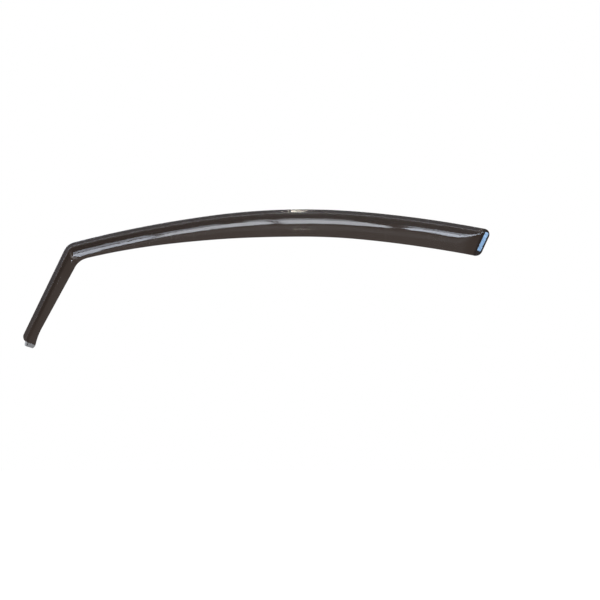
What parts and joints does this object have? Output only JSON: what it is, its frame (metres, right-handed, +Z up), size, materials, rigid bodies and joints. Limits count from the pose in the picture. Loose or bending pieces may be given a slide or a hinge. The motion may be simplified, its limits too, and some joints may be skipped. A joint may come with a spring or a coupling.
{
  "type": "window rain deflector",
  "caption": "Smoked acrylic rain deflector for a front side window: a slim arched visor with an insertion edge, a leg bent down at the front and an adhesive pad at the rear end.",
  "frame": {"origin": "on the front plane of the insertion edge, at the top of the arch", "axes": "+X runs back along the window towards the adhesive pad, +Z is up as on the car and the outer face looks along -Y"},
  "size_m": [0.9013, 0.0391, 0.2683],
  "materials": {
    "smoked_acrylic": "polished",
    "foam": "matte",
    "liner_film": "satin"
  },
  "bodies": {
    "root": {"deflector_shell": "smoked_acrylic", "foam_tape": "foam", "release_liner": "liner_film"}
  },
  "joints": []
}
